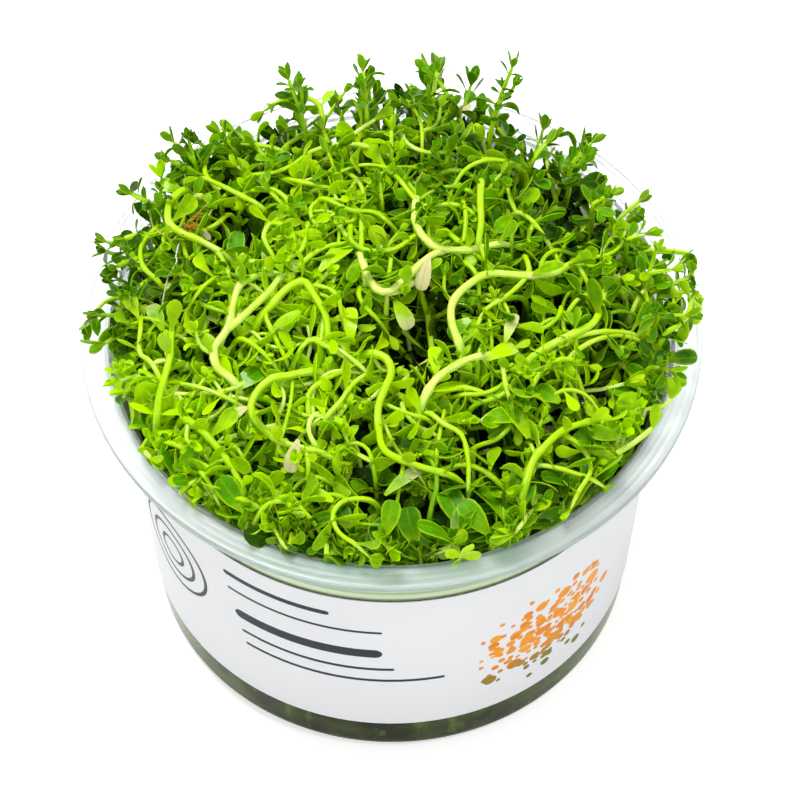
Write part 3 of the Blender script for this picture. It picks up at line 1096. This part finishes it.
class Nodes:
    """Short ways to add and join the nodes of one material."""

    def __init__(self, name):
        self.material = bpy.data.materials.new(name)
        self.material.use_nodes = True
        self.tree = self.material.node_tree
        self.shader = self.tree.nodes["Principled BSDF"]
        self.output = self.tree.nodes["Material Output"]

    def put(self, socket, value):
        """Join an output to a socket, or set the socket's own value."""
        if isinstance(value, Value):
            value = value.socket
        if isinstance(value, bpy.types.NodeSocket):
            self.tree.links.new(value, socket)
        else:
            socket.default_value = value

    def add(self, kind, inputs=None, **settings):
        """Add a node with its settings and its inputs, by name or by number."""
        node = self.tree.nodes.new(kind)
        for key, value in settings.items():
            setattr(node, key, value)
        for key, value in (inputs or {}).items():
            self.put(node.inputs[key], value)
        return node

    def surface(self, **inputs):
        """Set the main shader's inputs; an underscore in a name stands for a space."""
        for key, value in inputs.items():
            self.put(self.shader.inputs[key.replace("_", " ")], value)

    def math(self, operation, first, second=0.0):
        """A number worked out from one or two others."""
        node = self.add("ShaderNodeMath", {0: first, 1: second}, operation=operation)
        return Value(self, node.outputs[0])

    def vector(self, operation, first, second=(0.0, 0.0, 0.0)):
        """A vector worked out from one or two others, or the length of one."""
        node = self.add("ShaderNodeVectorMath", {0: first, 1: second}, operation=operation)
        return Value(self, node.outputs["Value"]) if operation == "LENGTH" else node.outputs[0]

    def flat(self, first, second):
        """A vector from two numbers."""
        return self.add("ShaderNodeCombineXYZ", {0: first, 1: second}).outputs[0]

    def mix(self, share, first, second, blend="MIX"):
        """A colour between two others."""
        node = self.add("ShaderNodeMix", data_type="RGBA", blend_type=blend)
        for number, value in ((0, share), (6, first), (7, second)):
            self.put(node.inputs[number], value)
        return node.outputs[2]

    def place(self):
        """The object's own coordinates."""
        return self.add("ShaderNodeTexCoord").outputs["Object"]

    def noise(self, scale, detail=2.0, stretch=(1.0, 1.0, 1.0)):
        """Soft noise in the object's own coordinates."""
        mapping = self.add("ShaderNodeMapping", {"Vector": self.place(), "Scale": stretch})
        inputs = {"Vector": mapping.outputs[0], "Scale": scale, "Detail": detail}
        return Value(self, self.add("ShaderNodeTexNoise", inputs).outputs["Fac"])

    def split(self, vector):
        """The three numbers of a vector."""
        return [Value(self, part) for part in self.add("ShaderNodeSeparateXYZ", {0: vector}).outputs]

    def attribute(self, name):
        """The three numbers of a piece's own vector attribute."""
        return self.split(self.add("ShaderNodeAttribute", attribute_name=name).outputs["Vector"])

    def bump(self, height, strength, distance):
        """Fine relief from a height."""
        inputs = {"Height": height, "Strength": strength, "Distance": distance}
        return self.add("ShaderNodeBump", inputs).outputs[0]


def rgb(red, green, blue):
    """A colour with full alpha."""
    return (red, green, blue, 1.0)


def leaf_finish():
    """Living leaf: yellow-green to deep green by tone, pale foot and midrib, light through the blade."""
    nodes = Nodes("living leaf")
    along, across, above = nodes.attribute("place")
    tone, age, gloss = nodes.attribute("tone")
    side = abs(across)
    patches = nodes.noise(260.0, 3.0)
    specks = (nodes.noise(950.0, 3.0) - 0.5) * 0.38
    tone = tone + ((patches - 0.5) * 0.45 + specks)

    dark = nodes.mix(tone.smooth(-0.4, 0.15), rgb(0.018, 0.068, 0.0), rgb(0.048, 0.18, 0.0))
    deep = nodes.mix(tone.smooth(0.05, 0.5), dark, rgb(0.135, 0.455, 0.0))
    fresh = nodes.mix(tone.smooth(0.4, 1.0), deep, rgb(0.65, 0.95, 0.0))
    rib = 1.0 - side.smooth(0.0, 0.16)
    foot = 1.0 - along.smooth(0.05, 0.5)
    pale = nodes.math("MAXIMUM", rib * 0.22, foot * 0.5) * tone.smooth(-0.5, 0.5)
    green = nodes.mix(pale, fresh, rgb(0.60, 0.86, 0.006))
    under = above.smooth(0.2, -0.2) * tone.smooth(-0.4, 0.5)
    green = nodes.mix(under * 0.3, green, rgb(0.42, 0.62, 0.02))
    margin = side.smooth(0.68, 1.0) * (tone.smooth(-0.3, 0.6) * 0.62)
    green = nodes.mix(margin, green, rgb(0.66, 0.96, 0.01))

    worn = nodes.mix(patches, rgb(0.70, 0.67, 0.26), rgb(0.95, 0.93, 0.58))
    worn = nodes.mix(rib * 0.4, worn, rgb(0.66, 0.44, 0.24))
    spread = patches * 0.5 + along * 0.35
    aged = (spread + age * 0.9).smooth(0.72, 1.12) * age.smooth(0.0, 0.1)
    colour = nodes.mix(aged, green, worn)

    veins = nodes.math("SINE", along * 34.0 - side * 9.0)
    relief = veins * 0.10 + rib * -0.5 + patches * 0.9 + specks
    normal = nodes.bump(relief, 0.4, 0.13 * MM)
    nodes.surface(
        Base_Color=colour, Roughness=(patches * 0.16 + 0.42) - gloss * 0.38, Specular_IOR_Level=0.13,
        Normal=normal, Coat_Weight=gloss.smooth(0.35, 1.0) * 0.6, Coat_Roughness=0.07,
    )
    glow = nodes.mix(1.0, colour, rgb(1.0, 1.0, 0.15), blend="MULTIPLY")
    light = nodes.add("ShaderNodeBsdfTranslucent", {"Color": glow, "Normal": normal}).outputs[0]
    blade = nodes.add("ShaderNodeMixShader", {0: 0.38, 1: nodes.shader.outputs[0], 2: light})
    nodes.put(nodes.output.inputs["Surface"], blade.outputs[0])
    return nodes.material


def stem_finish():
    """Juicy stem: chartreuse, paler with tone, faint lengthwise ribs and a soft gloss."""
    nodes = Nodes("juicy stem")
    turn = nodes.attribute("place")[1]
    tone, age, _ = nodes.attribute("tone")
    patches = nodes.noise(240.0, 4.0)
    tone = tone + (patches - 0.5) * 1.1
    green = nodes.mix(tone.smooth(0.2, 0.8), rgb(0.18, 0.43, 0.0), rgb(0.46, 0.75, 0.0))
    colour = nodes.mix(tone.smooth(0.8, 1.4), green, rgb(0.75, 0.94, 0.20))
    colour = nodes.mix(age, colour, rgb(0.86, 0.88, 0.72))
    brown = nodes.mix(patches.smooth(0.35, 0.6), rgb(0.42, 0.20, 0.01), rgb(0.92, 0.70, 0.16))
    colour = nodes.mix(age.smooth(1.0, 2.0), colour, brown)
    ribs = nodes.math("SINE", turn * 22.0)
    nodes.surface(
        Base_Color=colour, Roughness=0.3, Specular_IOR_Level=0.26, Coat_Weight=0.14, Coat_Roughness=0.12,
        Subsurface_Weight=0.4, Subsurface_Radius=(0.6, 1.0, 0.1), Subsurface_Scale=1.0 * MM,
        Normal=nodes.bump(ribs * 0.25 + patches, 0.45, 0.14 * MM),
    )
    return nodes.material


def clear_plastic_finish():
    """Clear moulded plastic of the cup's body."""
    nodes = Nodes("clear plastic")
    haze = nodes.noise(60.0, 3.0)
    nodes.surface(
        Base_Color=rgb(0.96, 0.98, 0.96), Roughness=0.05, Transmission_Weight=1.0, IOR=1.22,
        Normal=nodes.bump(haze, 0.05, 0.2 * MM),
    )
    return nodes.material


def foot_plastic_finish():
    """Plastic of the cup's foot, dark olive with the gel and the leaves that lie against it."""
    nodes = Nodes("plastic over gel")
    patches = nodes.noise(130.0, 4.0, (1.0, 1.0, 1.6))
    shreds = nodes.noise(330.0, 3.0, (1.0, 1.0, 0.4))
    x = nodes.split(nodes.place())[0]
    olive = nodes.mix(patches.smooth(0.3, 0.7), rgb(0.008, 0.012, 0.002), rgb(0.036, 0.048, 0.008))
    olive = nodes.mix(shreds.smooth(0.58, 0.74), olive, rgb(0.06, 0.10, 0.012))
    side = abs(x).smooth(16.0 * MM, 44.0 * MM)
    mottled = nodes.mix(patches.smooth(0.34, 0.66), rgb(0.07, 0.10, 0.02), rgb(0.15, 0.20, 0.055))
    olive = nodes.mix(side * 0.75, olive, mottled)
    nodes.surface(
        Base_Color=olive, Roughness=0.16, Specular_IOR_Level=0.08, IOR=1.4,
        Normal=nodes.bump(patches, 0.08, 0.2 * MM),
    )
    return nodes.material


def ledge_plastic_finish():
    """Frosted plastic of the ledge between label and flange, with lines where its steps lie."""
    nodes = Nodes("frosted plastic")
    haze = nodes.noise(60.0, 3.0, (1.0, 1.0, 5.0))
    z = nodes.split(nodes.place())[2]
    light = nodes.mix(haze, rgb(0.46, 0.60, 0.36), rgb(0.66, 0.80, 0.54))
    for over, half, line in ((0.35, 0.45, rgb(0.22, 0.28, 0.13)), (2.3, 0.5, rgb(0.34, 0.46, 0.20))):
        away = abs(z - (LABEL_TOP + over * MM))
        light = nodes.mix(away.smooth(half * MM, 0.5 * half * MM), light, line)
    nodes.surface(
        Base_Color=light, Roughness=0.3, Transmission_Weight=0.3, IOR=1.45,
        Normal=nodes.bump(haze, 0.1, 0.2 * MM),
    )
    return nodes.material


def milky_plastic_finish():
    """Translucent milky plastic of the flange and collar, with fine turned rings."""
    nodes = Nodes("milky plastic")
    haze = nodes.noise(45.0, 4.0)
    x, y, _ = nodes.split(nodes.place())
    radius = nodes.vector("LENGTH", nodes.flat(x, y))
    tint = nodes.mix(haze.smooth(0.3, 0.7), rgb(0.70, 0.755, 0.75), rgb(0.78, 0.815, 0.815))
    mint = nodes.mix(haze.smooth(0.3, 0.7), rgb(0.70, 0.835, 0.765), rgb(0.82, 0.91, 0.87))
    front = y.smooth(-22.0 * MM, -46.0 * MM) * abs(x).smooth(38.0 * MM, 10.0 * MM)
    tint = nodes.mix(front, tint, mint)
    tint = nodes.mix(y.smooth(-14.0 * MM, 12.0 * MM), tint, rgb(0.90, 0.94, 0.93))
    edges = 0.0
    for centre, half in FLANGE_LINES_MM:
        away = abs(radius - centre * MM)
        edges = nodes.math("MAXIMUM", edges, away.smooth(half * MM, 0.4 * half * MM))
    edges = edges * y.smooth(12.0 * MM, -26.0 * MM)
    tint = nodes.mix(edges * 0.55, tint, rgb(0.40, 0.47, 0.45))
    rings = nodes.math("SINE", radius * 7000.0)
    nodes.surface(
        Base_Color=tint, Roughness=haze * 0.2 + 0.26, Transmission_Weight=0.82, IOR=1.45,
        Normal=nodes.bump(rings * 0.15 + haze, 0.2, 0.15 * MM),
    )
    return nodes.material


def print_dots(nodes, spot, colour):
    """A drift of round dots in warm tones over the colour, olive along its lower side."""
    for cell, shift in PRINT_DOT_CELLS_MM:
        offset = (shift, shift, 0.0)
        inputs = {"Vector": nodes.vector("ADD", spot, offset), "Scale": 1.0 / cell, "Randomness": 0.8}
        dots = nodes.add("ShaderNodeTexVoronoi", inputs, voronoi_dimensions="2D")
        chance, hue, size = nodes.split(dots.outputs["Color"])
        centre = nodes.vector("SUBTRACT", dots.outputs["Position"], offset)
        fan = nodes.vector("SUBTRACT", centre, (*PRINT_DOTS_CENTRE_MM, 0.0))
        spread = nodes.vector("LENGTH", nodes.vector("MULTIPLY", fan, PRINT_DOTS_SQUEEZE))
        kept = nodes.math("GREATER_THAN", 1.15 - spread, chance * 0.75)
        disc = (Value(nodes, dots.outputs["Distance"]) - (size * 0.2 + 0.22)).smooth(0.02, -0.02)
        warm = nodes.mix(hue, rgb(0.60, 0.17, 0.005), rgb(0.72, 0.29, 0.01))
        low = nodes.split(centre)[1].smooth(24.0, 17.0)
        paint = nodes.mix(low, warm, rgb(0.13, 0.15, 0.015))
        colour = nodes.mix(disc * kept, colour, paint)
    return colour


def label_finish():
    """White label film with plain ruled lines, rings and a drift of round dots."""
    nodes = Nodes("printed label film")
    mottle = nodes.noise(35.0, 4.0)
    x, y, z = nodes.split(nodes.place())
    turn = nodes.math("ARCTAN2", x, y * -1.0)
    spot = nodes.flat(turn * PRINT_RADIUS_MM, z * (1.0 / MM))

    def away(centre, half=(0.0, 0.0)):
        """Distance in mm from a box on the unrolled label."""
        size = nodes.vector("ABSOLUTE", nodes.vector("SUBTRACT", spot, (*centre, 0.0)))
        rest = nodes.vector("SUBTRACT", size, (*half, 0.0))
        return nodes.vector("LENGTH", nodes.vector("MAXIMUM", rest))

    ink = 0.0
    for left, right, height, thickness in PRINT_LINES_MM:
        distance = away(((left + right) / 2, height), ((right - left - thickness) / 2, 0.0))
        ink = nodes.math("MAXIMUM", ink, distance.smooth(thickness / 2 + 0.06, thickness / 2 - 0.06))
    for radius in PRINT_RINGS_MM:
        distance = abs(away(PRINT_RING_CENTRE_MM) - radius)
        ink = nodes.math("MAXIMUM", ink, distance.smooth(0.45, 0.33))
    paper = nodes.mix(mottle, rgb(0.597, 0.602, 0.617), rgb(0.65, 0.66, 0.673))
    colour = print_dots(nodes, spot, nodes.mix(ink, paper, rgb(0.02, 0.025, 0.03)))
    grain = nodes.noise(2600.0, 2.0)
    nodes.surface(
        Base_Color=colour, Roughness=mottle * 0.12 + 0.34, Specular_IOR_Level=0.06,
        Normal=nodes.bump(grain, 0.06, 0.03 * MM),
    )
    return nodes.material


def gel_finish():
    """Dark olive gel with paler patches where roots show through."""
    nodes = Nodes("olive gel")
    patches = nodes.noise(110.0, 5.0, (1.0, 1.0, 1.8))
    roots = nodes.noise(420.0, 2.0, (1.0, 1.0, 0.25))
    colour = nodes.mix(patches.smooth(0.35, 0.7), rgb(0.06, 0.075, 0.015), rgb(0.15, 0.18, 0.04))
    colour = nodes.mix(roots.smooth(0.62, 0.75), colour, rgb(0.24, 0.28, 0.10))
    nodes.surface(
        Base_Color=colour, Roughness=0.5, Specular_IOR_Level=0.1,
        Normal=nodes.bump(patches, 0.3, 0.5 * MM),
    )
    return nodes.material


def floor_finish():
    """Plain pale studio floor."""
    nodes = Nodes("pale floor")
    grain = nodes.noise(300.0, 2.0)
    colour = nodes.mix(grain, rgb(0.94, 0.94, 0.94), rgb(0.96, 0.96, 0.96))
    nodes.surface(Base_Color=colour, Roughness=0.9, Specular_IOR_Level=0.1)
    nodes.surface(Emission_Color=rgb(1.0, 1.0, 1.0), Emission_Strength=FLOOR_GLOW)
    return nodes.material


# Studio


def make_floor():
    """A wide pale floor under the pot."""
    bm = bmesh.new()
    bmesh.ops.create_grid(bm, x_segments=1, y_segments=1, size=3.0)
    mesh = bpy.data.meshes.new("floor")
    bm.to_mesh(mesh)
    bm.free()
    mesh.materials.append(floor_finish())
    floor = bpy.data.objects.new("floor", mesh)
    bpy.context.scene.collection.objects.link(floor)


def aim(thing, place, target):
    """Put a camera or light at a place and point it at a target."""
    thing.location = place
    thing.rotation_euler = (Vector(target) - Vector(place)).to_track_quat("-Z", "Y").to_euler()


def make_camera():
    """Long lens that looks down on the pot, as in the photograph."""
    camera = bpy.data.objects.new("camera", bpy.data.cameras.new("camera"))
    camera.data.lens = LENS_MM
    camera.data.sensor_width = SENSOR_MM
    camera.data.clip_end = 20.0
    bpy.context.scene.collection.objects.link(camera)
    back = Vector((0.0, -math.cos(CAMERA_ELEVATION), math.sin(CAMERA_ELEVATION)))
    aim(camera, CAMERA_TARGET + back * CAMERA_DISTANCE, CAMERA_TARGET)
    bpy.context.scene.camera = camera


def add_softbox(name, place, size, power):
    """A square area light aimed at the plant."""
    light = bpy.data.lights.new(name, "AREA")
    light.size = size
    light.energy = power
    box = bpy.data.objects.new(name, light)
    bpy.context.scene.collection.objects.link(box)
    aim(box, place, (0.0, 0.0, 0.05))


def make_studio():
    """Floor, camera, softboxes and a pale surround."""
    make_floor()
    make_camera()
    for softbox in SOFTBOXES:
        add_softbox(*softbox)
    world = bpy.data.worlds.new("pale surround")
    world.use_nodes = True
    background = world.node_tree.nodes["Background"]
    background.inputs["Color"].default_value = rgb(1.0, 1.0, 1.0)
    background.inputs["Strength"].default_value = SURROUND
    scene = bpy.context.scene
    scene.world = world
    scene.view_settings.view_transform = "Standard"
    scene.view_settings.look = "None"


plant_finishes = (leaf_finish(), stem_finish())
make_cup((foot_plastic_finish(), clear_plastic_finish(), ledge_plastic_finish(), milky_plastic_finish()))
make_label(label_finish())
make_gel(gel_finish())
make_shoots(plant_finishes)
make_sprigs(plant_finishes)
make_runners(plant_finishes)
make_studio()
